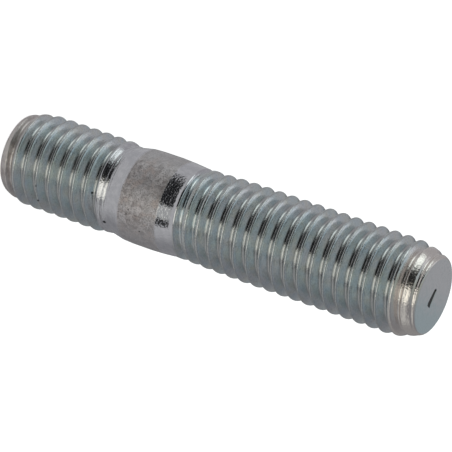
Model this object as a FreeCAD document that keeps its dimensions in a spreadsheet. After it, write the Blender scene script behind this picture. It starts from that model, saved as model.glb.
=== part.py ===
import FreeCAD, Part
import os
import Sketcher

# A double-end stud. The short tap end is screwed into a casting and the long nut end takes a washer and a nut.
# The origin is the centre of the tap end's face and +Z runs along the axis to the nut end, in millimetres.

doc = FreeCAD.newDocument("StudBolt")

# Driving dimensions. Depths are taken from the thread's crest, along the radius.
sizes = {
    "total_length": 57.9,
    "thread_diameter": 11.8,
    "thread_pitch": 1.75,
    "tap_thread_length": 13.0,
    "tap_crest_fall": 2.1,
    "tap_neck_depth": 0.35,
    "tap_neck_length": 0.65,
    "tap_taper_length": 2.15,
    "shank_diameter": 11.8,
    "shank_length": 2.9,
    "nut_taper_length": 4.6,
    "nut_neck_depth": 0.24,
    "nut_crest_rise": 4.8,
    "tap_point_length": 3.4,
    "nut_point_length": 3.9,
    "face_rim": 0.2,
    "tap_last_groove": 1.07,
    "tap_runout_turns": 0.75,
    "nut_first_groove": 0.985,
    "nut_runout_turns": 1.3,
    "mark_length": 2.4,
    "mark_width": 0.7,
    "mark_depth": 0.15,
    "mark_across": 0.23,
    "mark_along": -0.3,
    "mark_turn": 166.5,
}
sheet = doc.addObject("Spreadsheet::Sheet", "Sizes")
for row, (alias, value) in enumerate(sizes.items(), start=1):
    sheet.set(f"A{row}", alias.replace("_", " "))
    sheet.set(f"B{row}", str(value))
    sheet.setAlias(f"B{row}", alias)
doc.recompute()

# Radii and heights that the outlines share, as expressions in the sheet's names.
crest = "Sizes.thread_diameter / 2"
shank = "Sizes.shank_diameter / 2"
tap_neck = f"{crest} - Sizes.tap_neck_depth"
nut_neck = f"{crest} - Sizes.nut_neck_depth"
top = "Sizes.total_length"
tap_neck_start = "Sizes.tap_thread_length + Sizes.tap_crest_fall"
tap_neck_end = f"{tap_neck_start} + Sizes.tap_neck_length"
shank_start = f"{tap_neck_end} + Sizes.tap_taper_length"
shank_end = f"{shank_start} + Sizes.shank_length"
nut_neck_height = f"{shank_end} + Sizes.nut_taper_length"
nut_crest_full = f"{nut_neck_height} + Sizes.nut_crest_rise"

# The metric thread's form: flanks at 60 degrees to each other, a crest flat of an eighth of the pitch and the
# root of an external thread. The groove's mouth stands a little outside the crest and is narrower than a turn.
thread_depth = "(0.6134 * Sizes.thread_pitch)"
mouth_height = "(Sizes.thread_pitch / 20)"
half_at_crest = "7 / 16 * Sizes.thread_pitch"
half_root = f"({half_at_crest} - {thread_depth} / sqrt(3))"
half_mouth = f"({half_at_crest} + {mouth_height} / sqrt(3))"
tap_groove = "(Sizes.tap_thread_length + Sizes.tap_last_groove)"
nut_groove = f"({nut_neck_height} + Sizes.nut_first_groove)"

body = doc.addObject("PartDesign::Body", "Stud")
body.Label = "stud"


def new_sketch(name, role):
    sketch = body.newObject("Sketcher::SketchObject", name)
    plane = next(item for item in body.Origin.OriginFeatures if item.Role == role)
    sketch.AttachmentSupport = (plane, [""])
    sketch.MapMode = "FlatFace"
    return sketch


def bind(sketch, kind, geometry, ends, expression):
    # Adds a dimension that follows the sheet. ends is empty for a radius and one end's number for a distance
    # from the origin.
    value = float(sketch.evalExpression(expression))
    anchor = (-1, 1) if ends else ()
    index = sketch.addConstraint(Sketcher.Constraint(kind, *anchor, geometry, *ends, value))
    name = f"{kind}{geometry}"
    sketch.renameConstraint(index, name)
    sketch.setExpression(f"Constraints.{name}", expression)


def draw_outline(sketch, corners, arcs=()):
    # Draws a closed outline through the corners. The sides listed in arcs bulge outwards with the crest's radius.
    spots = [FreeCAD.Vector(*(float(sketch.evalExpression(text)) for text in corner), 0) for corner in corners]
    count = len(corners)
    for side, start in enumerate(spots):
        end = spots[(side + 1) % count]
        if side in arcs:
            radius = float(sketch.evalExpression(crest))
            centre = max(start, end, key=lambda spot: spot.x) - FreeCAD.Vector(radius, 0, 0)
            half_way = (start + end) / 2 - centre
            middle = centre + half_way * (radius / half_way.Length)
            sketch.addGeometry(Part.Arc(start, middle, end), False)
        else:
            sketch.addGeometry(Part.LineSegment(start, end), False)
    for side in range(count):
        sketch.addConstraint(Sketcher.Constraint("Coincident", side, 2, (side + 1) % count, 1))
    for side, (across, height) in enumerate(corners):
        if across == "0":
            sketch.addConstraint(Sketcher.Constraint("PointOnObject", side, 1, -2))
        else:
            bind(sketch, "DistanceX", side, [1], across)
        if height == "0":
            sketch.addConstraint(Sketcher.Constraint("PointOnObject", side, 1, -1))
        else:
            bind(sketch, "DistanceY", side, [1], height)
    for side in arcs:
        bind(sketch, "Radius", side, [], crest)


# The blank is turned. Both ends are points rounded as part of a ball as wide as the thread, cut off by a flat
# face. The neck beside the tap thread runs up a taper to the shank, and the shank falls gently to the nut
# thread, whose crests reach full height further on.
tap_face = f"sqrt(({crest}) ^ 2 - Sizes.tap_point_length ^ 2)"
nut_face = f"sqrt(({crest}) ^ 2 - Sizes.nut_point_length ^ 2)"
outline = new_sketch("BlankOutline", "XZ_Plane")
draw_outline(
    outline,
    [
        ("0", "0"),
        (tap_face, "0"),
        (crest, "Sizes.tap_point_length"),
        (crest, "Sizes.tap_thread_length"),
        (tap_neck, tap_neck_start),
        (tap_neck, tap_neck_end),
        (shank, shank_start),
        (shank, shank_end),
        (nut_neck, nut_neck_height),
        (crest, nut_crest_full),
        (crest, f"{top} - Sizes.nut_point_length"),
        (nut_face, top),
        ("0", top),
    ],
    arcs=(1, 10),
)
blank = body.newObject("PartDesign::Revolution", "Blank")
blank.Profile = outline
blank.ReferenceAxis = (outline, ["V_Axis"])
blank.Angle = 360
doc.recompute()

# The rims of both faces are broken.
heights = (0.0, float(outline.evalExpression(top)))
rims = []
for number, edge in enumerate(blank.Shape.Edges, start=1):
    low, high = edge.BoundBox.ZMin, edge.BoundBox.ZMax
    if high - low < 1e-6 and any(abs(low - height) < 1e-6 for height in heights):
        rims.append(f"Edge{number}")
broken = body.newObject("PartDesign::Chamfer", "FaceRims")
broken.Base = (blank, rims)
broken.setExpression("Size", "Sizes.face_rim")
doc.recompute()


# Each thread is one right-hand groove. It is cut from its last full turn beside the shank out past the end's
# face, and from that same section a short second cut climbs out of the metal towards the shank.
def cut_groove(name, section, turns, growth, towards_tap):
    cut = body.newObject("PartDesign::SubtractiveHelix", name)
    cut.Profile = section
    cut.ReferenceAxis = (section, ["V_Axis"])
    cut.Mode = "height-turns-growth"
    cut.LeftHanded = False
    cut.Reversed = towards_tap
    cut.setExpression("Turns", turns)
    cut.setExpression("Height", f"Sizes.thread_pitch * {turns}")
    cut.setExpression("Growth", growth)
    doc.recompute()


def cut_thread(end_name, groove, reach, runout_turns, towards_tap):
    section = new_sketch(f"{end_name}GrooveSection", "XZ_Plane")
    root, mouth = f"{crest} - {thread_depth}", f"{crest} + {mouth_height}"
    draw_outline(
        section,
        [
            (root, f"{groove} - {half_root}"),
            (mouth, f"{groove} - {half_mouth}"),
            (mouth, f"{groove} + {half_mouth}"),
            (root, f"{groove} + {half_root}"),
        ],
    )
    turns = f"ceil({reach} / Sizes.thread_pitch + 0.5)"
    cut_groove(f"{end_name}Thread", section, turns, "0", towards_tap)
    climb = f"{thread_depth} / {runout_turns}"
    cut_groove(f"{end_name}RunOut", section, runout_turns, climb, not towards_tap)


cut_thread("Tap", tap_groove, tap_groove, "Sizes.tap_runout_turns", True)
cut_thread("Nut", nut_groove, f"({top} - {nut_groove})", "Sizes.nut_runout_turns", False)

# A short stroke is stamped into the nut end's face, a little off the centre.
stroke = new_sketch("MarkOutline", "XY_Plane")
stroke.setExpression("AttachmentOffset.Base.x", "Sizes.mark_across")
stroke.setExpression("AttachmentOffset.Base.y", "Sizes.mark_along")
stroke.setExpression("AttachmentOffset.Base.z", top)
stroke.AttachmentOffset = FreeCAD.Placement(FreeCAD.Vector(), FreeCAD.Rotation(FreeCAD.Vector(0, 0, 1), 1))
stroke.setExpression("AttachmentOffset.Rotation.Angle", "Sizes.mark_turn")
half_length, half_width = "Sizes.mark_length / 2", "Sizes.mark_width / 2"
draw_outline(
    stroke,
    [
        (f"-{half_length}", f"-{half_width}"),
        (half_length, f"-{half_width}"),
        (half_length, half_width),
        (f"-{half_length}", half_width),
    ],
)
mark = body.newObject("PartDesign::Pocket", "Mark")
mark.Profile = stroke
mark.Type = "Length"
mark.setExpression("Length", "Sizes.mark_depth")
doc.recompute()

for item in doc.Objects:
    if {"Invalid", "Error"} & set(item.State):
        raise RuntimeError(f"{item.Name} failed: {item.State}")
steps = [item for item in body.Group if item.isDerivedFrom("PartDesign::Feature")]
for before, after in zip(steps, steps[1:]):
    if not after.Shape.Volume < before.Shape.Volume:
        raise RuntimeError(f"{after.Name} took no metal away")
if body.Shape.isNull() or not body.Shape.isValid() or len(body.Shape.Solids) != 1:
    raise RuntimeError("the stud isn't one valid solid")

os.makedirs("parts", exist_ok=True)
body.Shape.exportStep(f"parts/{body.Label}.step")
print(body.Label, round(body.Shape.Volume, 2), "mm3,", len(body.Shape.Faces), "faces")
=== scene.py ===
import math

import bpy
import numpy as np
from mathutils import Matrix, Vector


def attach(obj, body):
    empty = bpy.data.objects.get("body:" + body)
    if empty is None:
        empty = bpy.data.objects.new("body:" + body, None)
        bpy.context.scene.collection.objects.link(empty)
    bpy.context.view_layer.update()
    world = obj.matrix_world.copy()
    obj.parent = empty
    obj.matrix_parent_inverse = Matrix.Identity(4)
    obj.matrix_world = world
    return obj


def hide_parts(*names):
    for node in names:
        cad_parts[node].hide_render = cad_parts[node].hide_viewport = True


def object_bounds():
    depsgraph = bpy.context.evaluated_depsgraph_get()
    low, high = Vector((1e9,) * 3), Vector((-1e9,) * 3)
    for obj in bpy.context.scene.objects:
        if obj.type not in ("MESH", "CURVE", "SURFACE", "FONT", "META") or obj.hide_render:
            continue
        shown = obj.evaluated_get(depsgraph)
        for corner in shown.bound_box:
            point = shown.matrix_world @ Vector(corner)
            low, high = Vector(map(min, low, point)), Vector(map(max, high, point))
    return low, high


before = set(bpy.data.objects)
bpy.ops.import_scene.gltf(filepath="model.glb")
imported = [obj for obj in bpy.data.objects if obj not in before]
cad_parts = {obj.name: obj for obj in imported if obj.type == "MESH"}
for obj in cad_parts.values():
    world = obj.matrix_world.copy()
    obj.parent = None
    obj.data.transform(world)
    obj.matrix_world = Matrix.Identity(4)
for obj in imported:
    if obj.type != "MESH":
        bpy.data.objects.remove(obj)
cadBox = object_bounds()
mm = 0.001

# The stud's surface, in millimetres. Its length and its crests reach as far as the CAD model.
studSizes = {
    "length": round(cadBox[1][2] / mm, 2),
    "crestRadius": round(cadBox[1][0] / mm, 2),
    "pitch": 1.75,
    "threadDepth": 1.073,
    "rootRound": 0.25,  # radius at the bottom of a groove
    "crestRound": 0.075,  # softness of the crest's edges
    "tapSofter": 0.35,  # share by which the tap thread's crests are softer, and where that fades out
    "tapSofterEnd": (13.5, 16.0),
    "plainFrom": 12,  # past this many softnesses from a groove the outline is left as it is
    "crestEdge": (-0.12, 0.02),  # groove wall against outline, where the crest's own finish fades in
    "rimRound": 0.22,
    "tapGroove": 15.82,  # height of one groove of each thread on the +X side
    "nutGroove": 26.385,
    "tapRunoutStart": 14.6,  # height where each groove begins to climb out, and in how many turns
    "tapRunout": 0.42,
    "nutRunoutStart": 26.385,
    "nutRunout": 1.3,
    "quickFrom": 0.8,  # share of a run-out after which it climbs faster, and by how many times more
    "quickness": 4,
    "pointRidge": 0.009,  # low ridges rolled onto the nut end's point: height, first valley and spacing
    "pointValley": 56.62,
    "pointSpacing": 0.66,
    "pointWander": 0.04,  # how far the ridges stray along the axis
    "ridgesFrom": (56.0, 56.5),  # heights between which they fade in, turn wavy and fade out
    "wavesFrom": (56.12, 56.52),
    "ridgesTo": (57.55, 57.75),
    "outlineSoftness": 0.4,  # length of the running mean
    "columns": 108,  # steps round one turn
    # mesh rows on each side of a groove's middle, in pitches
    "rows": (0.04, 0.075, 0.105, 0.13, 0.19, 0.25, 0.31, 0.36, 0.4, 0.435, 0.468),
    "rowsMove": (17.0, 22.0),  # heights where the rows move over from one thread to the other
    "rowsReturn": 1.2,  # and how far under the nut end's face they begin to move back
    "tapRings": (0.12, 0.35, 7),  # rings that close each face: gap to the rim, innermost radius, number
    "nutRings": (0.08, 0.06, 24),
}
# crest outline: height up the axis, radius
outlinePoints = [
    (0.0, 4.95),
    (0.55, 5.18),
    (1.35, 5.46),
    (2.55, 5.8),
    (3.6, 5.89),
    (13.6, 5.89),
    (14.15, 5.8),
    (15.05, 5.565),
    (15.2, 5.575),
    (15.55, 5.485),
    (15.75, 5.485),
    (17.45, 5.84),
    (18.7, 5.9),
    (21.3, 5.9),
    (23.0, 5.82),
    (24.3, 5.71),
    (24.9, 5.665),
    (25.5, 5.7),
    (27.4, 5.74),
    (30.2, 5.85),
    (33.0, 5.9),
    (53.5, 5.9),
    (55.1, 5.74),
    (56.5, 5.31),
    (57.5, 4.93),
    (57.9, 4.7),
]
# the stroke stamped into the nut end's face; its place is off the face's centre, in millimetres
markSizes = {
    "length": 2.4,
    "width": 0.88,
    "depth": 0.08,
    "across": 0.23,
    "along": -0.3,
    "turn": 166.5,
    "taper": 0.27,
    "wall": (0.62, 1.12),  # shares of the half width between which the wall rises
    # the stroke's bottom is coloured near black as painted shade
    "shadeSide": (0.95, 0.7),  # shares of the half width between which the dark bottom fades in
    "darkEnd": 0.1,  # length of that fade at both ends
    "shadeBelow": (0.4, 0.3),  # the dark bottom is only this close to the face
}


def smoothStep(value, low, high):
    # 0 up to low, 1 from high on and a smooth rise between them
    t = np.clip((value - low) / (high - low), 0, 1)
    return t * t * (3 - 2 * t)


def crestOutline(height):
    # straight lines through the outline points, run on past both ends and softened by a running mean
    length, step, beyond = studSizes["length"], 0.01, 2.0
    fine = np.linspace(-beyond, length + beyond, round((length + 2 * beyond) / step) + 1)
    xs, ys = zip(*outlinePoints)
    radius = np.interp(fine, xs, ys)
    slopeLow = (ys[1] - ys[0]) / (xs[1] - xs[0])
    slopeHigh = (ys[-1] - ys[-2]) / (xs[-1] - xs[-2])
    radius = np.where(fine < 0, ys[0] + fine * slopeLow, radius)
    radius = np.where(fine > xs[-1], ys[-1] + (fine - xs[-1]) * slopeHigh, radius)
    window = np.hanning(round(studSizes["outlineSoftness"] / step) + 1)
    return np.interp(height, fine, np.convolve(radius, window / window.sum(), mode="same"))


def runOut(distance, turns):
    # how far a groove is lifted, by the distance past its last full place, with a quick end
    share = np.maximum(distance, 0) / (turns * studSizes["pitch"])
    quick = np.maximum(share - studSizes["quickFrom"], 0)
    return studSizes["threadDepth"] * (share + studSizes["quickness"] * quick)


def grooveWall(height, turn, phase, lift):
    # radius of the groove's wall: a round bottom, then flanks that rise by the root of three for each step
    # along the axis. Both grooves beside a point are tried, the lower wall counts, and lift raises a whole
    # groove where its thread runs out.
    pitch, bottom = studSizes["pitch"], studSizes["crestRadius"] - studSizes["threadDepth"]
    rounding = studSizes["rootRound"]
    tangent = rounding * math.cos(math.radians(30))
    wall = np.full(np.broadcast(height, turn).shape, np.inf)
    below = np.floor((height - phase) / pitch - turn)
    for index in (below, below + 1):
        centre = phase + pitch * (index + turn)
        away = np.abs(height - centre)
        arc = rounding - np.sqrt(rounding**2 - np.minimum(away, tangent) ** 2)
        flank = np.maximum(away - tangent, 0) * math.sqrt(3)
        wall = np.minimum(wall, bottom + arc + flank + lift(centre))
    return wall


def pointRidges(height, turn):
    # depth of the low ridges: a wave along the axis whose place and depth change slowly round the stud
    sizes = studSizes
    angle = 2 * math.pi * turn
    wander = sizes["pointWander"] * (np.sin(2 * angle + 0.6) + 0.6 * np.sin(5 * angle))
    uneven = 1 + 0.35 * np.sin(angle + 2.2) + 0.25 * np.sin(3 * angle + 0.4)
    waves = np.cos(2 * math.pi * (height - sizes["pointValley"] - wander) / sizes["pointSpacing"])
    waves = waves * smoothStep(height, *sizes["wavesFrom"])
    depth = sizes["pointRidge"] * uneven * (1 + waves)
    return depth * smoothStep(height, *sizes["ridgesFrom"]) * (1 - smoothStep(height, *sizes["ridgesTo"]))


def studPoint(path, turn):
    # The meridian is a path: out along the tap end's face, round its rim, up the outline with the two grooves
    # cut in, round the other rim and in along the nut end's face.
    sizes = studSizes
    length, rim, pitch = sizes["length"], sizes["rimRound"], sizes["pitch"]
    low = np.clip((path + rim) / (2 * rim), 0, 1) * math.pi / 2
    high = np.clip((length + rim - path) / (2 * rim), 0, 1) * math.pi / 2
    height = np.clip(path, rim, length - rim)
    height = np.where(path < rim, rim * (1 - np.cos(low)), height)
    height = np.where(path > length - rim, length - rim * (1 - np.cos(high)), height)
    # between the threads the rows move along the axis, so that they follow the grooves of both
    shift = sizes["nutGroove"] - sizes["tapGroove"]
    shift = (shift / pitch - round(shift / pitch)) * pitch
    moved = smoothStep(path, *sizes["rowsMove"])
    height = height + shift * moved * (1 - smoothStep(path, length - sizes["rowsReturn"], length - rim))
    outline = crestOutline(height) - pointRidges(height, turn)
    outline = outline - rim * (1 - np.sin(low)) - rim * (1 - np.sin(high))
    outline = outline + np.minimum(path + rim, 0) - np.maximum(path - length - rim, 0)
    tapWall = grooveWall(
        height,
        turn,
        sizes["tapGroove"],
        lambda centre: runOut(centre - sizes["tapRunoutStart"], sizes["tapRunout"]),
    )
    nutWall = grooveWall(
        height,
        turn,
        sizes["nutGroove"],
        lambda centre: runOut(sizes["nutRunoutStart"] - centre, sizes["nutRunout"]),
    )
    wall = np.minimum(tapWall, nutWall)
    # the lower of outline and wall, with the corner between them rounded
    soft = sizes["crestRound"] * (1 + sizes["tapSofter"] * (1 - smoothStep(height, *sizes["tapSofterEnd"])))
    gap = (wall - outline) / soft
    radius = np.minimum(wall, outline) - soft * np.log1p(np.exp(-np.abs(gap)))
    radius = np.where(gap > sizes["plainFrom"], outline, radius)
    crest = smoothStep(wall - outline, *sizes["crestEdge"])
    return radius, height, crest, outline - radius


def stampDepth(x, y):
    # depth of the stamped stroke, from the distance to its middle line
    turn = math.radians(markSizes["turn"])
    along = (x - markSizes["across"]) * math.cos(turn) + (y - markSizes["along"]) * math.sin(turn)
    aside = -(x - markSizes["across"]) * math.sin(turn) + (y - markSizes["along"]) * math.cos(turn)
    taper = 1 - markSizes["taper"] * np.clip(along / (markSizes["length"] / 2), -1, 1)
    half = markSizes["width"] / 2 * taper
    beyond = np.maximum(np.abs(along) - (markSizes["length"] / 2 - half), 0)
    away = np.hypot(beyond, aside)
    return 1 - smoothStep(away / half, *markSizes["wall"])


def buildStud():
    # A ribbon one pitch wide is carried along the helix, so every row of the mesh follows the thread. Its
    # lower edge is sewn to the turn before. Each face is closed from the ribbon's spiral edge by rings and
    # a pole.
    pitch, columns, length = studSizes["pitch"], studSizes["columns"], studSizes["length"]
    half = np.array(studSizes["rows"])
    offsets = np.concatenate([[-0.5], -half[::-1], [0.0], half])
    rows = len(offsets)
    firstTurn = -1 - math.floor(studSizes["tapGroove"] / pitch)
    start = studSizes["tapGroove"] + firstTurn * pitch
    pastRim = 0.3
    turns = math.ceil((length + pastRim - start + pitch / 2) / pitch)
    last = columns * turns

    column = np.arange(last + 1)[:, None]
    turn = column / columns + 0 * offsets[None, :]
    path = start + pitch * (turn + offsets[None, :])
    edgeTurn = np.arange(last - columns + 1, last + 1) / columns
    edgePath = start + pitch * (edgeTurn + 0.5)
    turnAll = np.concatenate([turn.ravel(), edgeTurn])
    pathAll = np.concatenate([path.ravel(), edgePath])
    radius, height, crest, depth = studPoint(pathAll, turnAll)
    angle = 2 * math.pi * turnAll
    points = [np.stack([radius * np.cos(angle), radius * np.sin(angle), height], 1)]
    masks = [np.stack([crest, depth], 1)]

    def node(k, j):
        # number of the point in column k and row j; the top row is the first row one turn later
        k, j = np.broadcast_arrays(k, j)
        sewn = (j == rows) & (k + columns <= last)
        k, j = np.where(sewn, k + columns, k), np.where(sewn, 0, j)
        return np.where(j == rows, (last + 1) * rows + k - (last - columns + 1), k * rows + j)

    k, j = np.meshgrid(np.arange(last), np.arange(rows), indexing="ij")
    k, j = k.ravel(), j.ravel()
    quads = [np.stack([node(k, j), node(k + 1, j), node(k + 1, j + 1), node(k, j + 1)], 1)]
    triangles = []
    count = len(turnAll)
    ringAngle = 2 * math.pi * np.arange(columns) / columns
    ringCircle = np.stack([np.cos(ringAngle), np.sin(ringAngle)])
    for rim, rings, level, top in (
        (radius[node(0, 0)], studSizes["tapRings"], 0.0, False),
        (radius[node(last, rows)], studSizes["nutRings"], length, True),
    ):
        gap, innermost, number = rings
        grid = np.linspace(rim - gap, innermost, number)[:, None] * ringCircle[:, None, :]
        flat = np.stack([grid[0].ravel(), grid[1].ravel(), np.full(grid[0].size, level)], 1)
        points += [flat, [[0.0, 0.0, level]]]
        masks.append(np.tile([1.0, 0.0], (len(flat) + 1, 1)))
        ring = count + np.arange(len(flat)).reshape(number, columns)
        pole = count + len(flat)
        count += len(flat) + 1
        after = np.roll(ring, -1, axis=1)
        inner = np.stack([ring[:-1].ravel(), after[:-1].ravel(), after[1:].ravel(), ring[1:].ravel()], 1)
        tip = np.stack([ring[-1], after[-1], np.full(columns, pole)], 1)
        if top:
            edge = node(np.arange(last - columns, last + 1), rows)
            outer = np.stack([edge[1:-1], edge[2:], after[0][1:], ring[0][1:]], 1)
            seam = np.concatenate([[ring[0][1], ring[0][0]], node(last, np.arange(rows, -1, -1))])
            corner = edge[1]
        else:
            edge = node(np.arange(columns + 1), 0)
            outer = np.stack([ring[0][:-1], ring[0][1:], edge[1:-1], edge[:-2]], 1)
            seam = np.concatenate([[ring[0][-1], ring[0][0]], node(0, np.arange(rows + 1))])
            corner = edge[-2]
            inner, tip = inner[:, ::-1], tip[:, ::-1]
        triangles += [np.stack([np.full(len(seam) - 1, corner), seam[:-1], seam[1:]], 1), tip]
        quads += [outer, inner]

    points = np.concatenate(points)
    masks = np.concatenate(masks)
    onFace = points[:, 2] > length - 1e-6
    points[:, 2] -= markSizes["depth"] * np.where(onFace, stampDepth(points[:, 0], points[:, 1]), 0)
    return points * mm, np.concatenate(quads), np.concatenate(triangles), masks


def meshFrom(name, points, quads, triangles):
    # a smooth object from points in metres and two lists of faces
    mesh = bpy.data.meshes.new(name)
    corners = np.concatenate([quads.ravel(), triangles.ravel()]).astype(np.int32)
    sizes = np.concatenate([np.full(len(quads), 4), np.full(len(triangles), 3)])
    starts = np.concatenate([[0], np.cumsum(sizes)[:-1]]).astype(np.int32)
    mesh.vertices.add(len(points))
    mesh.vertices.foreach_set("co", points.astype(np.float32).ravel())
    mesh.loops.add(len(corners))
    mesh.loops.foreach_set("vertex_index", corners)
    mesh.polygons.add(len(sizes))
    mesh.polygons.foreach_set("loop_start", starts)
    mesh.polygons.foreach_set("use_smooth", np.ones(len(sizes), dtype=bool))
    mesh.update(calc_edges=True)
    mesh.validate()
    piece = bpy.data.objects.new(name, mesh)
    bpy.context.scene.collection.objects.link(piece)
    return piece


points, quads, triangles, masks = buildStud()
stud = meshFrom("zinc_stud", points, quads, triangles)
for label, values in (("crest", masks[:, 0]), ("grooveDepth", masks[:, 1])):
    layer = stud.data.attributes.new(label, "FLOAT", "POINT")
    layer.data.foreach_set("value", values.astype(np.float32))
print("stud surface:", len(points), "points,", 2 * len(quads) + len(triangles), "triangles")

# Zinc plating.
zincLook = {
    "flankCool": (0.61, 0.675, 0.68),
    "flankPale": (0.66, 0.685, 0.70),
    "flankBlue": (0.52, 0.625, 0.69),
    "flankOlive": (0.645, 0.655, 0.60),
    "flankDark": (0.43, 0.465, 0.47),
    "crestColour": (0.46, 0.465, 0.465),
    # painted shade of the groove bottoms, where the flanks beside them hide the light
    "rootShade": (0.50, 0.505, 0.505),
    "faceCool": (0.55, 0.655, 0.695),
    "facePale": (0.70, 0.70, 0.725),
    "faceDark": (0.48, 0.53, 0.56),
    "shankColour": (0.37, 0.34, 0.335),
    "shankPale": (0.70, 0.665, 0.67),
    "shankPink": (0.60, 0.52, 0.495),
    "shankDark": (0.16, 0.145, 0.145),
    # painted sheen: paler, cooler tone for the shank's sides turned away from -Y
    "shankSideSheen": (0.585, 0.58, 0.59),
    "bandColour": (0.575, 0.58, 0.61),
    "bandPale": (0.65, 0.65, 0.68),
    "tapPointColour": (0.65, 0.615, 0.60),
    "tapPointDark": (0.50, 0.465, 0.45),
    # partly the point's own paler tone, partly painted light: raised to brighten the point in place of
    # stronger light
    "nutPointToneAndLight": (0.73, 0.69, 0.66),
    # painted shade, near black, inside the stamped stroke and the pits
    "holeShade": (0.018, 0.02, 0.022),
    "flankRoughness": 0.195,
    "tapThreadRoughness": 0.25,
    "crestRoughness": 0.26,
    "bandRoughness": 0.16,
    "tapNeckRoughness": 0.2,
    "nutBandRoughness": 0.1,
    "faceRoughness": 0.26,
    "shankRoughness": 0.5,
    "tapPointRoughness": 0.4,
    "nutPointRoughness": 0.23,
    "roughnessOfStreaks": 0.12,  # by how much the streaks and the mottling change the roughness
    "roughnessOfMottle": 0.3,
    # heights of the fine grain, in metres
    "flankGrain": 0.000008,
    "tapThreadGrain": 0.000012,
    "crestGrain": 0.000028,
    "neckGrain": 0.00002,
    "tapNeckGrain": 0.00002,
    "bandGrain": 0.000018,
    "shankGrain": 0.000024,
    "pointGrain": 0.000036,
    # heights of the finest specks
    "flankSpeck": 0.0000035,
    "bandSpeck": 0.000002,
    "tapNeckSpeck": 0.000003,
    # heights of the fine lines that run round the stud
    "flankStreak": 0.00001,
    "neckStreak": 0.000014,
    "tapNeckStreak": 0.000021,
    "bandStreak": 0.0000015,
    # heights of the broader rings beside the tap thread and on the points
    "tapNeckRing": 0.000044,
    "pointRing": 0.000012,
}
# noises in the plating: features to a millimetre, detail, roughness
zincNoise = {
    "clouds": (0.3, 2.0, 0.5),
    "mottle": (1.3, 6.0, 0.65),
    "speckle": (4.5, 4.0, 0.6),
    "grain": (4.2, 1.5, 0.5),
    "dust": (6.0, 1.5, 0.6),
    "flecks": (9.0, 2.0, 0.6),
    "specks": (8.0, 1.0, 0.5),
}
# the same over coordinates that are moved, or stretched round the stud and squeezed along it: features to
# a radian (for the rings a share of the streaks') and to a millimetre
warmthNoise = {"noise": (0.75, 3.0, 0.6), "place": (7.0, 3.0, 5.0)}
streakNoise = {"noise": (1.0, 4.0, 0.6), "round": 2.2, "across": 6.0}
ringNoise = {"noise": (1.0, 2.0, 0.5), "round": 0.3, "across": 2.8}
# where each finish begins or ends: height up the axis, half the width of its soft edge
zincLimits = {
    "tapPointEnd": (2.1, 0.25),
    "tapThreadEnd": (14.0, 0.4),
    "bandStart": (14.2, 0.15),
    "tapNeckEnd": (15.85, 0.15),
    "shankStart": (17.7, 0.12),
    "shankEnd": (23.0, 0.12),
    "bandEnd": (25.4, 0.15),
    "nutPointStart": (55.0, 0.4),
    "faceStart": (57.725, 0.125),
}
limitWobble = 0.5  # how far the speckle moves the limits of the shank and the points
faceEdge = (4.75, 4.45)  # radii between which the face's finish fades in
faceClouds = 6.0  # how far the mottling moves the two tones of the face, in millimetres
crestFade = (0.3, 0.6, 0.95, 0.45)  # dust from, to, and the strength of the crest's colour at each
neckLineFade = (0.44, 0.34, 0.0, 0.7)  # the same for the dark lines beside the tap thread
# tints laid one over another: the pattern a tint follows, the values where it fades in, strength, colour
zincTints = {
    "flank": [
        ("clouds", 0.38, 0.62, 1.0, "flankPale"),
        ("warmth", 0.5, 0.64, 0.5, "flankBlue"),
        ("warmth", 0.47, 0.35, 0.6, "flankOlive"),
        # painted shade: the deepest part of each groove is darkened by its depth
        ("depth", 0.78, 1.03, 1.0, "rootShade"),
    ],
    "spots": [("speckle", 0.49, 0.64, 0.5, "flankDark")],
    "band": [("mottle", 0.4, 0.65, 1.0, "bandPale")],
    "tapPoint": [("mottle", 0.38, 0.56, 1.0, "tapPointColour")],
    "face": [
        ("across", -1.5, 3.5, 1.0, "faceCool"),
        ("mottle", 0.45, 0.75, 0.35, "flankCool"),
        ("speckle", 0.48, 0.66, 0.3, "faceDark"),
    ],
    "shank": [
        ("mottle", 0.34, 0.62, 1.0, "shankPale"),
        ("clouds", 0.47, 0.62, 0.3, "bandColour"),
        ("warmth", 0.5, 0.66, 0.7, "shankPink"),
        ("dust", 0.53, 0.63, 0.5, "shankDark"),
        ("flecks", 0.56, 0.64, 0.6, "shankDark"),
        # painted sheen: the shank is paler and cooler away from its strip that faces -Y
        ("y", -5.2, -3.4, 0.5, "shankSideSheen"),
    ],
}
# small pits, not cut in but given painted shade: height, bearing in degrees from the front towards -X,
# distance from the axis, radius
pits = [
    (15.49, -56.0, 5.48, 0.25),
    (13.43, -20.0, 5.0, 0.19),
    (6.05, -55.0, 5.85, 0.17),
    (5.95, -33.0, 5.8, 0.12),
    (8.2, -50.0, 5.7, 0.14),
    (10.9, -54.0, 5.75, 0.14),
    (12.6, -57.0, 5.8, 0.12),
    (20.9, -46.0, 5.9, 0.11),
    (19.2, -22.0, 5.9, 0.11),
    (19.0, -28.0, 5.9, 0.09),
    (43.3, 52.0, 5.85, 0.12),
]
pitFade = (1.15, 0.55)  # shares of a pit's radius between which it darkens


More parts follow.
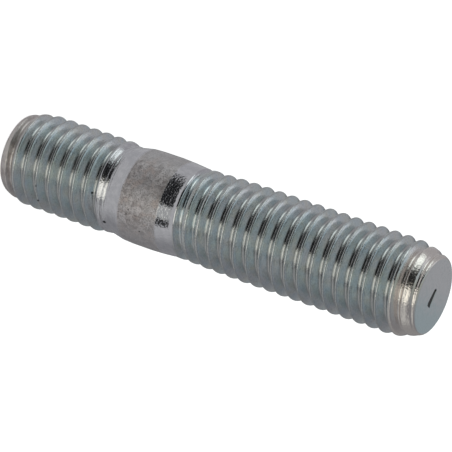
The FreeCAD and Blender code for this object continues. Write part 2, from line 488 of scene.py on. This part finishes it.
class NodeBench:
    # Short ways to add and link nodes in one tree.
    def __init__(self, tree):
        self.tree = tree

    def add(self, kind, inputs=(), **settings):
        node = self.tree.nodes.new(kind)
        for key, value in settings.items():
            setattr(node, key, value)
        for key, value in dict(inputs).items():
            self.feed(node.inputs[key], value)
        return node

    def feed(self, socket, value):
        if isinstance(value, bpy.types.NodeSocket):
            self.tree.links.new(value, socket)
        else:
            socket.default_value = value

    def math(self, operation, first, second=0.0):
        return self.add("ShaderNodeMath", {0: first, 1: second}, operation=operation).outputs[0]

    def times(self, first, *others):
        for other in others:
            first = self.math("MULTIPLY", first, other)
        return first

    def plus(self, first, second):
        return self.math("ADD", first, second)

    def minus(self, first, second):
        return self.math("SUBTRACT", first, second)

    def hypot(self, first, second):
        return self.math("SQRT", self.plus(self.times(first, first), self.times(second, second)))

    def step(self, value, low, high, toLow=0.0, toHigh=1.0):
        inputs = {"Value": value, "From Min": low, "From Max": high, "To Min": toLow, "To Max": toHigh}
        return self.add("ShaderNodeMapRange", inputs, interpolation_type="SMOOTHSTEP").outputs["Result"]

    def blend(self, mask, first, second):
        # one number where the mask is 0 and another where it is 1
        return self.step(mask, 0.0, 1.0, first, second)

    def mix(self, mask, first, second):
        # the same for two colours
        node = self.add("ShaderNodeMix", data_type="RGBA")
        self.feed(node.inputs[0], mask)
        for index, value in ((6, first), (7, second)):
            self.feed(node.inputs[index], (*value, 1.0) if isinstance(value, tuple) else value)
        return node.outputs[2]

    def noise(self, vector, scale, detail, roughness):
        inputs = {"Vector": vector, "Scale": scale, "Detail": detail, "Roughness": roughness}
        return self.add("ShaderNodeTexNoise", inputs).outputs["Fac"]


def pitShadeGroup():
    # a soft round spot of painted pit shade about a centre, in the piece's own millimetres
    tree = bpy.data.node_groups.new("pitShadeSpot", "ShaderNodeTree")
    tree.interface.new_socket("Place", in_out="INPUT", socket_type="NodeSocketVector")
    tree.interface.new_socket("Centre", in_out="INPUT", socket_type="NodeSocketVector")
    tree.interface.new_socket("Radius", in_out="INPUT", socket_type="NodeSocketFloat")
    tree.interface.new_socket("Mask", in_out="OUTPUT", socket_type="NodeSocketFloat")
    bench = NodeBench(tree)
    given = bench.add("NodeGroupInput").outputs
    between = {0: given["Place"], 1: given["Centre"]}
    away = bench.add("ShaderNodeVectorMath", between, operation="DISTANCE").outputs["Value"]
    mask = bench.step(bench.math("DIVIDE", away, given["Radius"]), *pitFade)
    tree.links.new(mask, bench.add("NodeGroupOutput").inputs["Mask"])
    return tree


def stampShade(bench, patterns):
    # the stamped stroke again, its bottom's painted shade drawn sharp on the face
    turn, half, top = math.radians(markSizes["turn"]), markSizes["length"] / 2, studSizes["length"]
    x = bench.minus(patterns["x"], markSizes["across"])
    y = bench.minus(patterns["y"], markSizes["along"])
    along = bench.plus(bench.times(x, math.cos(turn)), bench.times(y, math.sin(turn)))
    aside = bench.minus(bench.times(y, math.cos(turn)), bench.times(x, math.sin(turn)))
    width = bench.times(bench.math("DIVIDE", along, half), -markSizes["taper"])
    width = bench.times(bench.plus(width, 1.0), markSizes["width"] / 2)
    inside = bench.step(bench.math("DIVIDE", bench.math("ABSOLUTE", aside), width), *markSizes["shadeSide"])
    ends = bench.step(bench.math("ABSOLUTE", along), half, half - markSizes["darkEnd"])
    under, over = markSizes["shadeBelow"]
    return bench.times(inside, ends, bench.step(patterns["height"], top - under, top - over))


def zincPatterns(bench):
    # coordinates in millimetres, the mesh's own masks, and noises between 0 and 1
    place = bench.add("ShaderNodeTexCoord").outputs["Object"]
    inMm = bench.add("ShaderNodeMapping", {"Vector": place, "Scale": (1 / mm, 1 / mm, 1 / mm)}).outputs[0]
    x, y, height = bench.add("ShaderNodeSeparateXYZ", {0: inMm}).outputs
    reach = bench.hypot(x, y)
    patterns = {name: bench.noise(inMm, *settings) for name, settings in zincNoise.items()}
    moved = bench.add("ShaderNodeMapping", {"Vector": inMm, "Location": warmthNoise["place"]}).outputs[0]
    patterns["warmth"] = bench.noise(moved, *warmthNoise["noise"])
    # streaks and rings run round the stud: their noises are squeezed along the axis, the streaks' also
    # along the radius
    around = bench.times(bench.math("ARCTAN2", y, x), streakNoise["round"])
    across = streakNoise["across"]
    squeezed = {0: around, 1: bench.times(reach, across), 2: bench.times(height, across)}
    streakCoords = bench.add("ShaderNodeCombineXYZ", squeezed).outputs[0]
    patterns["streaks"] = bench.noise(streakCoords, *streakNoise["noise"])
    squeezed = {0: bench.times(around, ringNoise["round"]), 2: bench.times(height, ringNoise["across"])}
    ringCoords = bench.add("ShaderNodeCombineXYZ", squeezed).outputs[0]
    patterns["rings"] = bench.noise(ringCoords, *ringNoise["noise"])
    patterns["crest"] = bench.add("ShaderNodeAttribute", attribute_name="crest").outputs["Fac"]
    patterns["depth"] = bench.add("ShaderNodeAttribute", attribute_name="grooveDepth").outputs["Fac"]
    patterns["across"] = bench.plus(x, bench.times(bench.minus(patterns["mottle"], 0.5), faceClouds))
    patterns.update(inMm=inMm, x=x, y=y, height=height, reach=reach)
    return patterns


def zincPlaces(bench, patterns):
    # masks that say where each finish lies. The plain shank has clean bands beside both threads and a dull
    # mottled middle.
    height = patterns["height"]
    wobbled = bench.plus(height, bench.times(bench.minus(patterns["speckle"], 0.5), limitWobble))

    def above(name, value=height):
        level, soft = zincLimits[name]
        return bench.step(value, level - soft, level + soft)

    def below(name, value=height):
        level, soft = zincLimits[name]
        return bench.step(value, level + soft, level - soft)

    shankHigh, bandLow, bandHigh = below("shankEnd", wobbled), above("bandStart"), below("bandEnd")
    places = {
        "shank": bench.times(above("shankStart", wobbled), shankHigh),
        "band": bench.times(bandLow, bandHigh),
        "nutBand": bench.times(bench.minus(1.0, shankHigh), bandHigh),
        "tapNeck": bench.times(bandLow, below("tapNeckEnd")),
        "tapThread": below("tapThreadEnd"),
        "tapPoint": below("tapPointEnd", wobbled),
        "nutPoint": above("nutPointStart", wobbled),
        "face": bench.times(above("faceStart"), bench.step(patterns["reach"], *faceEdge)),
        "crest": patterns["crest"],
    }
    places["ends"] = bench.math("MAXIMUM", places["tapPoint"], places["nutPoint"])
    places["offFace"] = bench.minus(1.0, places["face"])
    places["points"] = bench.times(places["ends"], places["offFace"])
    return places


def zincColour(bench, look, patterns, places):
    # the flanks' colour with the painted shade of the groove bottoms first, then each finish over it, and the
    # painted shade of the stroke and the pits last
    def tinted(colour, area):
        for pattern, fadeFrom, fadeTo, strength, tint in zincTints[area]:
            mask = bench.step(patterns[pattern], fadeFrom, fadeTo, 0.0, strength)
            colour = bench.mix(mask, colour, look[tint])
        return colour

    colour = tinted(look["flankCool"], "flank")
    crestMask = bench.times(places["crest"], bench.step(patterns["dust"], *crestFade))
    colour = tinted(bench.mix(crestMask, colour, look["crestColour"]), "spots")
    colour = bench.mix(places["band"], colour, tinted(look["bandColour"], "band"))
    colour = bench.mix(places["tapPoint"], colour, tinted(look["tapPointDark"], "tapPoint"))
    # partly painted light: the nut end's point gets a paler colour that also brightens it
    colour = bench.mix(places["nutPoint"], colour, look["nutPointToneAndLight"])
    colour = bench.mix(places["face"], colour, tinted(look["facePale"], "face"))
    neckLines = bench.times(places["tapNeck"], bench.step(patterns["streaks"], *neckLineFade))
    colour = bench.mix(neckLines, colour, look["shankDark"])
    colour = bench.mix(places["shank"], colour, tinted(look["shankColour"], "shank"))

    spot = pitShadeGroup()
    # painted shade: the stroke's bottom and the pits are coloured near black
    dark = stampShade(bench, patterns)
    for height, bearing, distance, size in pits:
        turn = math.radians(bearing)
        centre = (-distance * math.sin(turn), -distance * math.cos(turn), height)
        inputs = {"Place": patterns["inMm"], "Centre": centre, "Radius": size}
        pit = bench.add("ShaderNodeGroup", inputs, node_tree=spot)
        dark = bench.math("MAXIMUM", dark, pit.outputs["Mask"])
    return bench.mix(dark, colour, look["holeShade"])


def byPlace(bench, look, places, value, names):
    # a value that changes from place to place; each place in turn covers those before it
    for place, name in names:
        value = bench.blend(places[place], value, look[name])
    return value


def zincRoughness(bench, look, patterns, places):
    # streaky on the threads, even on the bands and the ends, mottled on the shank
    threads = (("tapThread", "tapThreadRoughness"), ("crest", "crestRoughness"))
    rough = byPlace(bench, look, places, look["flankRoughness"], threads)
    rough = bench.plus(rough, bench.times(bench.minus(patterns["streaks"], 0.5), look["roughnessOfStreaks"]))
    clean = (
        ("band", "bandRoughness"),
        ("tapNeck", "tapNeckRoughness"),
        ("nutBand", "nutBandRoughness"),
        ("tapPoint", "tapPointRoughness"),
        ("nutPoint", "nutPointRoughness"),
        ("face", "faceRoughness"),
    )
    rough = byPlace(bench, look, places, rough, clean)
    uneven = bench.times(bench.minus(patterns["mottle"], 0.5), look["roughnessOfMottle"])
    return bench.blend(places["shank"], rough, bench.plus(look["shankRoughness"], uneven))


def zincRelief(bench, look, patterns, places):
    # heights of the grain, the specks, the streaks and the rings, added up
    grainPlaces = (
        ("tapThread", "tapThreadGrain"),
        ("crest", "crestGrain"),
        ("band", "neckGrain"),
        ("tapNeck", "tapNeckGrain"),
        ("nutBand", "bandGrain"),
        ("shank", "shankGrain"),
        ("ends", "pointGrain"),
        ("face", "flankGrain"),
    )
    speckPlaces = (("nutBand", "bandSpeck"), ("tapNeck", "tapNeckSpeck"))
    streakPlaces = (("band", "neckStreak"), ("tapNeck", "tapNeckStreak"), ("nutBand", "bandStreak"))
    ringPlaces = (("tapNeck", "tapNeckRing"), ("points", "pointRing"))
    grain = byPlace(bench, look, places, look["flankGrain"], grainPlaces)
    specks = byPlace(bench, look, places, look["flankSpeck"], speckPlaces)
    streaks = byPlace(bench, look, places, look["flankStreak"], streakPlaces)
    rings = byPlace(bench, look, places, 0.0, ringPlaces)
    relief = bench.times(patterns["grain"], grain)
    relief = bench.plus(relief, bench.times(patterns["specks"], bench.times(specks, places["offFace"])))
    relief = bench.plus(relief, bench.times(patterns["streaks"], bench.times(streaks, places["offFace"])))
    return bench.plus(relief, bench.times(patterns["rings"], rings))


def makeZinc(look):
    # bright metal whose colour, roughness and relief change from place to place
    material = bpy.data.materials.new("zincPlating")
    material.use_nodes = True
    tree = material.node_tree
    tree.nodes.clear()
    bench = NodeBench(tree)
    patterns = zincPatterns(bench)
    places = zincPlaces(bench, patterns)
    relief = zincRelief(bench, look, patterns, places)
    bump = bench.add("ShaderNodeBump", {"Strength": 1.0, "Distance": 1.0, "Height": relief})
    inputs = {
        "Base Color": zincColour(bench, look, patterns, places),
        "Metallic": 1.0,
        "Roughness": zincRoughness(bench, look, patterns, places),
        "Normal": bump.outputs[0],
    }
    shader = bench.add("ShaderNodeBsdfPrincipled", inputs)
    output = bench.add("ShaderNodeOutputMaterial")
    tree.links.new(shader.outputs[0], output.inputs[0])
    return material


stud.data.materials.append(makeZinc(zincLook))
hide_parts("stud")
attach(stud, "root")
print("zinc plating on")

# Floor and light.
floorLook = {"size": 4.0, "colour": (0.9, 0.9, 0.9), "roughness": 0.8, "glow": 0.8}
studioLight = {
    "low": (0.545, 0.545, 0.545),  # the pale table the stud reflects from below
    "lowLeft": (0.49, 0.49, 0.50),
    "lowRight": (0.29, 0.29, 0.30),
    "underLeft": (0.36, 0.36, 0.375),
    "sideRight": (0.235, 0.235, 0.25),  # +X
    "glowRight": (0.31, 0.31, 0.315),
    "neckGlow": (0.62, 0.63, 0.62),
    "sideBack": (0.30, 0.315, 0.325),
    "farWall": (0.40, 0.405, 0.41),
    "sideLeft": (0.42, 0.415, 0.43),  # -X
    "sideGlow": (0.79, 0.80, 0.83),
    "aboveRight": (0.275, 0.30, 0.325),
    "above": (0.375, 0.405, 0.37),
    "aboveLeft": (0.46, 0.535, 0.58),
    "dark": (0.012, 0.013, 0.014),
    "rim": (0.10, 0.10, 0.11),
    "bright": (1.46, 1.44, 1.29),
    "silver": (1.42, 1.54, 1.5),
}
# The bright, dark and silver cards stand side by side. Bearings are in degrees from the front, positive
# towards -X. The low window is a strip near the cards' lower edge where the dark one is wider.
studioCards = {
    "brightFrom": -38.0,
    "darkFrom": 0.0,
    "darkFromLow": -6.0,
    "darkTo": 53.0,
    "darkToLow": 79.5,
    "silverTo": (88.0, 102.0),
    "lowerDarkFrom": -56.0,  # where the dark begins again in the low window
    "edge": 2.0,  # half the width of a card's soft edge
    # bearings past the dark card where the silver starts and where it is full, below and above a limit
    "silverStart": (-2.0, 9.0),
    "silverFull": (19.0, 26.0),
    "silverFullLow": 3.0,  # the same in the low window
    "silverSooner": 11.0,  # how much sooner it starts in a strip just above the level
    "brightLoss": 0.88,  # how much the bright card loses towards its foot
    "lowTilt": 1.8,  # by how much the low window's lower limit rises towards its far corner
}
# where fields of light fade into one another: rises above the level in degrees
riseFades = {
    "nearLow": (2.0, -14.0),
    "windowTop": (-9.0, -13.0),
    "windowFoot": (-22.0, -19.5),
    "silverLimit": (16.0, 24.0),
    "soonerFrom": (0.0, 3.0),
    "soonerTo": (18.0, 13.0),
    "underLeft": (-55.0, -75.0),
    "glowRight": (28.0, 14.0),
    "neckGlowTop": (20.0, 8.0),
    "neckGlowFoot": (-8.0, 0.0),
    "sideGlowFoot": (30.0, 40.0),
    "sideGlowTop": (58.0, 46.0),
    "sideFoot": (-8.0, -16.0),
    "brightFoot": (-6.0, -18.0),
    "brightTop": (8.0, 34.0),
    "silverTop": (14.0, 45.0),
    "above": (44.0, 56.0),
    "low": (-20.0, -24.0),
    "rim": (5.0, -5.0),
}
# the same for bearings, and for the parts of a direction towards +X and +Y
bearingFades = {
    "windowTilt": (35.0, 72.0),
    "lowRight": (-62.0, -118.0),
    "lowLeft": (50.0, 115.0),
    "neckGlow": (-112.0, -85.0),
    "rim": (158.0, 172.0),
}
sideFades = {
    "right": (0.1, 0.42),
    "left": (-0.1, -0.42),
    "aboveRight": (0.05, 0.45),
    "aboveLeft": (-0.2, -0.45),
    "farAcross": (0.25, 0.12),
    "farBack": (0.78, 0.87),
}


def makeFloor(look):
    # a pale sheet for the camera, kept out of the stud's reflections
    half = look["size"] / 2
    corners = [(-half, -half, 0), (half, -half, 0), (half, half, 0), (-half, half, 0)]
    mesh = bpy.data.meshes.new("studioFloor")
    mesh.from_pydata(corners, [], [(0, 1, 2, 3)])
    floor = bpy.data.objects.new("studioFloor", mesh)
    bpy.context.scene.collection.objects.link(floor)
    material = bpy.data.materials.new("paleFloor")
    material.use_nodes = True
    shader = material.node_tree.nodes["Principled BSDF"]
    shader.inputs["Base Color"].default_value = (*look["colour"], 1)
    shader.inputs["Roughness"].default_value = look["roughness"]
    shader.inputs["Emission Color"].default_value = (1, 1, 1, 1)
    shader.inputs["Emission Strength"].default_value = look["glow"]
    mesh.materials.append(material)
    floor.visible_glossy = False
    floor.visible_diffuse = False
    return floor


def makeStudio(light, cards):
    # a world of soft fields of light, worked out from how high and at what bearing a direction points
    world = bpy.data.worlds.new("softStudio")
    bpy.context.scene.world = world
    world.use_nodes = True
    tree = world.node_tree
    tree.nodes.clear()
    bench = NodeBench(tree)
    direction = bench.add("ShaderNodeTexCoord").outputs["Generated"]
    x, y, z = bench.add("ShaderNodeSeparateXYZ", {0: direction}).outputs
    rise = bench.times(bench.math("ARCTAN2", z, bench.hypot(x, y)), 180 / math.pi)
    bearing = bench.math("ARCTAN2", bench.times(x, -1.0), bench.times(y, -1.0))
    bearing = bench.times(bearing, 180 / math.pi)

    def byRise(name):
        return bench.step(rise, *riseFades[name])

    def byBearing(name):
        return bench.step(bearing, *bearingFades[name])

    def byX(name):
        return bench.step(x, *sideFades[name])

    def cardFrom(start):
        return bench.step(bench.minus(bearing, start), -cards["edge"], cards["edge"])

    # the cards
    lowEdge = bench.minus(rise, bench.times(byBearing("windowTilt"), cards["lowTilt"]))
    lowWindow = bench.times(byRise("windowTop"), bench.step(lowEdge, *riseFades["windowFoot"]))
    darkMask = cardFrom(bench.blend(lowWindow, cards["darkFrom"], cards["darkFromLow"]))
    pastDark = bench.minus(bearing, bench.blend(lowWindow, cards["darkTo"], cards["darkToLow"]))
    silverStart = bench.step(rise, *riseFades["silverLimit"], *cards["silverStart"])
    below, above = cards["silverFull"]
    below = bench.blend(lowWindow, below, cards["silverFullLow"])
    silverFull = bench.step(rise, *riseFades["silverLimit"], below, above)
    sooner = bench.times(byRise("soonerFrom"), byRise("soonerTo"), cards["silverSooner"])
    silverMask = bench.step(bench.plus(pastDark, sooner), silverStart, silverFull)
    endMask = bench.step(bearing, *cards["silverTo"])
    lowerMask = bench.times(cardFrom(cards["lowerDarkFrom"]), lowWindow)

    # the table and the walls
    low = bench.mix(byBearing("lowRight"), light["low"], light["lowRight"])
    lowLeft = bench.mix(byRise("underLeft"), light["lowLeft"], light["underLeft"])
    low = bench.mix(byBearing("lowLeft"), low, lowLeft)
    right = bench.mix(byRise("glowRight"), light["sideRight"], light["glowRight"])
    neckGlow = bench.times(byRise("neckGlowTop"), byBearing("neckGlow"), byRise("neckGlowFoot"))
    right = bench.mix(neckGlow, right, light["neckGlow"])
    side = bench.mix(byX("right"), light["sideBack"], right)
    glow = bench.times(byRise("sideGlowFoot"), byRise("sideGlowTop"))
    left = bench.mix(glow, light["sideLeft"], light["sideGlow"])
    side = bench.mix(byX("left"), side, left)
    farAcross = bench.step(bench.math("ABSOLUTE", x), *sideFades["farAcross"])
    far = bench.times(bench.step(y, *sideFades["farBack"]), farAcross)
    side = bench.mix(far, side, light["farWall"])
    side = bench.mix(byRise("sideFoot"), side, low)

    # one laid over another
    footLoss = bench.times(byRise("brightFoot"), cards["brightLoss"])
    bright = bench.mix(footLoss, light["bright"], light["sideBack"])
    bright = bench.mix(byRise("brightTop"), bright, light["sideBack"])
    silver = bench.mix(byRise("silverTop"), light["silver"], light["sideBack"])
    silver = bench.mix(byRise("nearLow"), silver, low)
    colour = bench.mix(lowerMask, side, light["dark"])
    colour = bench.mix(cardFrom(cards["brightFrom"]), colour, bright)
    colour = bench.mix(darkMask, colour, light["dark"])
    colour = bench.mix(silverMask, colour, silver)
    colour = bench.mix(endMask, colour, side)
    ceiling = bench.mix(byX("aboveRight"), light["above"], light["aboveRight"])
    ceiling = bench.mix(byX("aboveLeft"), ceiling, light["aboveLeft"])
    colour = bench.mix(byRise("above"), colour, ceiling)
    colour = bench.mix(byRise("low"), colour, low)
    behind = bench.step(bench.math("ABSOLUTE", bearing), *bearingFades["rim"])
    colour = bench.mix(bench.times(behind, byRise("rim")), colour, light["rim"])
    background = bench.add("ShaderNodeBackground", {"Color": colour, "Strength": 1.0})
    output = bench.add("ShaderNodeOutputWorld")
    tree.links.new(background.outputs[0], output.inputs[0])


makeFloor(floorLook)
makeStudio(studioLight, studioCards)
bpy.context.scene.view_settings.view_transform = "Standard"
print("studio lit")

# Camera, in metres, degrees and millimetres of lens.
cameraSetting = {
    "spot": (0.00019, -0.3775, 0.2078),
    "lookDown": 25.27,
    "roll": 109.18,
    "lens": 276.8,
    "sensor": 36.0,
    "nearest": 0.01,
}


def placeCamera(setting):
    # it looks towards +Y and down, and is rolled so that the standing stud lies at the photo's slant
    data = bpy.data.cameras.new("photoCamera")
    data.lens = setting["lens"]
    data.sensor_width = setting["sensor"]
    data.clip_start = setting["nearest"]
    camera = bpy.data.objects.new("photoCamera", data)
    bpy.context.scene.collection.objects.link(camera)
    tilt = Matrix.Rotation(math.radians(90 - setting["lookDown"]), 4, "X")
    roll = Matrix.Rotation(math.radians(setting["roll"]), 4, "Z")
    camera.matrix_world = Matrix.Translation(Vector(setting["spot"])) @ tilt @ roll
    bpy.context.scene.camera = camera


placeCamera(cameraSetting)
print("stud dressed")
